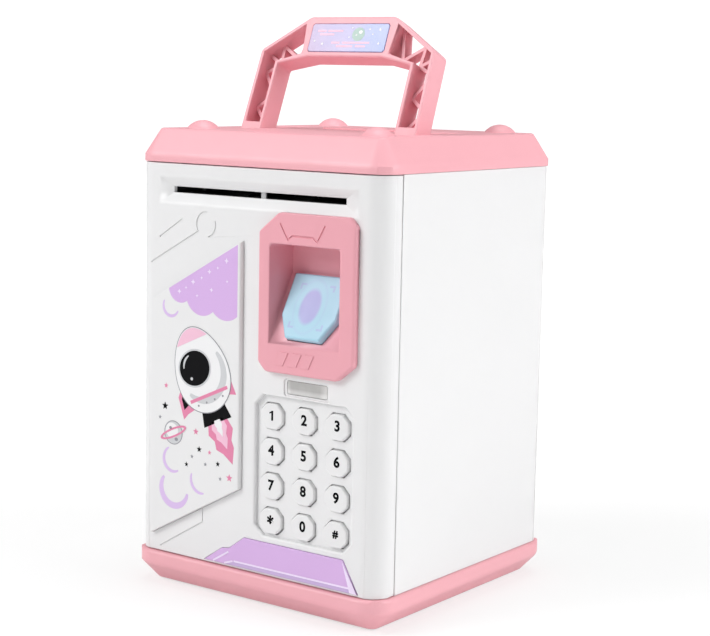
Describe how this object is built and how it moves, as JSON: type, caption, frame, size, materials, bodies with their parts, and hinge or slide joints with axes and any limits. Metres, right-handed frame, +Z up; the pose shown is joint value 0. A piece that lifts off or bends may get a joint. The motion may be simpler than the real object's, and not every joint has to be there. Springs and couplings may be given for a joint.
{
  "type": "toy safe coin bank",
  "caption": "Upright toy safe with a leaning carry handle, a full-height hinged front door, a note slot with feed rollers, a keypad, a play fingerprint pad and a coin slot in the lid.",
  "frame": {"origin": "middle of the bounding box's footprint, on the surface the foot pads stand on", "axes": "+X to the viewer's right facing the door, +Y to the back, +Z up"},
  "size_m": [0.1384, 0.1366, 0.255],
  "materials": {
    "pink": "satin moulded ABS, light pink",
    "white": "satin moulded ABS, white",
    "lilac": "printed film, pale lilac",
    "pad_blue": "matte moulded ABS, pale blue",
    "window": "smoked clear plastic",
    "led": "clear red LED lens",
    "rubber": "black moulded rubber",
    "dark_plastic": "black moulded plastic",
    "board": "green solder mask on fibreglass",
    "cell": "printed steel can of a dry cell",
    "steel": "plain and plated steel"
  },
  "bodies": {
    "cabinet": {"base_tray": "pink", "foot_pads": "rubber", "base_screws": "steel", "body_shell": "white", "strike_plate": "steel", "strike_screws": "steel", "ceiling_panel": "white", "lid": "pink", "lid_screws": "steel", "coin_slot_insert": "pink", "hinge_pins": "steel", "handle_pins": "steel"},
    "handle": {"handle_grip": "pink", "handle_label": "lilac"},
    "door": {"door_shell": "white", "door_back_cover": "white", "cover_screws": "steel", "artwork_panel": "white", "lower_trim": "lilac", "sensor_bezel": "pink", "pad_switch": "dark_plastic", "led_window": "window", "status_leds": "led", "key_membrane": "rubber", "keypad_board": "board", "main_board": "board", "board_screws": "steel", "speaker": "dark_plastic", "battery_tray": "dark_plastic", "batteries": "cell", "battery_contacts": "steel", "battery_cover": "white", "battery_cover_screw": "steel", "note_guide": "dark_plastic", "note_switch": "dark_plastic", "feed_motor": "steel", "latch_solenoid": "steel"},
    "pad": {"sensor_pad": "pad_blue"},
    "latch": {"latch_bolt": "white", "latch_plunger": "steel"},
    "drive_roller": {"drive_shaft": "steel", "drive_tyres": "rubber", "roller_gear": "white"},
    "idler_roller": {"idler_shaft": "steel", "idler_tyres": "rubber"},
    "motor_rotor": {"motor_pinion": "white"},
    "lever": {"note_lever": "white"},
    "button_1": {"key_1": "white"},
    "button_2": {"key_2": "white"},
    "button_3": {"key_3": "white"},
    "button_4": {"key_4": "white"},
    "button_5": {"key_5": "white"},
    "button_6": {"key_6": "white"},
    "button_7": {"key_7": "white"},
    "button_8": {"key_8": "white"},
    "button_9": {"key_9": "white"},
    "button_star": {"key_star": "white"},
    "button_0": {"key_0": "white"},
    "button_hash": {"key_hash": "white"}
  },
  "joints": [
    {"name": "door_hinge", "type": "hinge", "parent": "cabinet", "child": "door", "pos_m": [-0.0633, -0.05671, 0.1028], "axis": [0, 0, -1], "range_deg": [0, 110]},
    {"name": "handle_fold", "type": "hinge", "parent": "cabinet", "child": "handle", "pos_m": [0, -0.0137, 0.198], "axis": [1, 0, 0], "range_deg": [-49, 21]},
    {"name": "latch_slide", "type": "slide", "parent": "door", "child": "latch", "axis": [1, 0, 0], "range_m": [0, 0.004]},
    {"name": "pad_press", "type": "slide", "parent": "door", "child": "pad", "axis": [0, 0.8771, -0.4802], "range_m": [0, 0.001], "stiffness_N_per_m": 600, "springref_m": -0.0006},
    {"name": "press_1", "type": "slide", "parent": "door", "child": "button_1", "axis": [0, 1, 0], "range_m": [0, 0.0012], "stiffness_N_per_m": 400, "springref_m": -0.0006},
    {"name": "press_2", "type": "slide", "parent": "door", "child": "button_2", "axis": [0, 1, 0], "range_m": [0, 0.0012], "stiffness_N_per_m": 400, "springref_m": -0.0006},
    {"name": "press_3", "type": "slide", "parent": "door", "child": "button_3", "axis": [0, 1, 0], "range_m": [0, 0.0012], "stiffness_N_per_m": 400, "springref_m": -0.0006},
    {"name": "press_4", "type": "slide", "parent": "door", "child": "button_4", "axis": [0, 1, 0], "range_m": [0, 0.0012], "stiffness_N_per_m": 400, "springref_m": -0.0006},
    {"name": "press_5", "type": "slide", "parent": "door", "child": "button_5", "axis": [0, 1, 0], "range_m": [0, 0.0012], "stiffness_N_per_m": 400, "springref_m": -0.0006},
    {"name": "press_6", "type": "slide", "parent": "door", "child": "button_6", "axis": [0, 1, 0], "range_m": [0, 0.0012], "stiffness_N_per_m": 400, "springref_m": -0.0006},
    {"name": "press_7", "type": "slide", "parent": "door", "child": "button_7", "axis": [0, 1, 0], "range_m": [0, 0.0012], "stiffness_N_per_m": 400, "springref_m": -0.0006},
    {"name": "press_8", "type": "slide", "parent": "door", "child": "button_8", "axis": [0, 1, 0], "range_m": [0, 0.0012], "stiffness_N_per_m": 400, "springref_m": -0.0006},
    {"name": "press_9", "type": "slide", "parent": "door", "child": "button_9", "axis": [0, 1, 0], "range_m": [0, 0.0012], "stiffness_N_per_m": 400, "springref_m": -0.0006},
    {"name": "press_star", "type": "slide", "parent": "door", "child": "button_star", "axis": [0, 1, 0], "range_m": [0, 0.0012], "stiffness_N_per_m": 400, "springref_m": -0.0006},
    {"name": "press_0", "type": "slide", "parent": "door", "child": "button_0", "axis": [0, 1, 0], "range_m": [0, 0.0012], "stiffness_N_per_m": 400, "springref_m": -0.0006},
    {"name": "press_hash", "type": "slide", "parent": "door", "child": "button_hash", "axis": [0, 1, 0], "range_m": [0, 0.0012], "stiffness_N_per_m": 400, "springref_m": -0.0006},
    {"name": "drive_spin", "type": "hinge", "parent": "door", "child": "drive_roller", "pos_m": [0, -0.051, 0.1733], "axis": [1, 0, 0], "continuous": true},
    {"name": "idler_spin", "type": "hinge", "parent": "door", "child": "idler_roller", "pos_m": [0, -0.051, 0.1814], "axis": [1, 0, 0], "continuous": true},
    {"name": "motor_spin", "type": "hinge", "parent": "door", "child": "motor_rotor", "pos_m": [-0.049, -0.051, 0.1633], "axis": [1, 0, 0], "continuous": true},
    {"name": "lever_swing", "type": "hinge", "parent": "door", "child": "lever", "pos_m": [0, -0.05741, 0.18235], "axis": [1, 0, 0], "range_deg": [0, 40], "stiffness_Nm_per_rad": 0.0001, "springref_deg": -11.46}
  ],
  "couplings": [
    {"joint": "idler_spin", "follows": "drive_spin", "ratio": -1.7857},
    {"joint": "motor_spin", "follows": "drive_spin", "ratio": -2.3333}
  ]
}
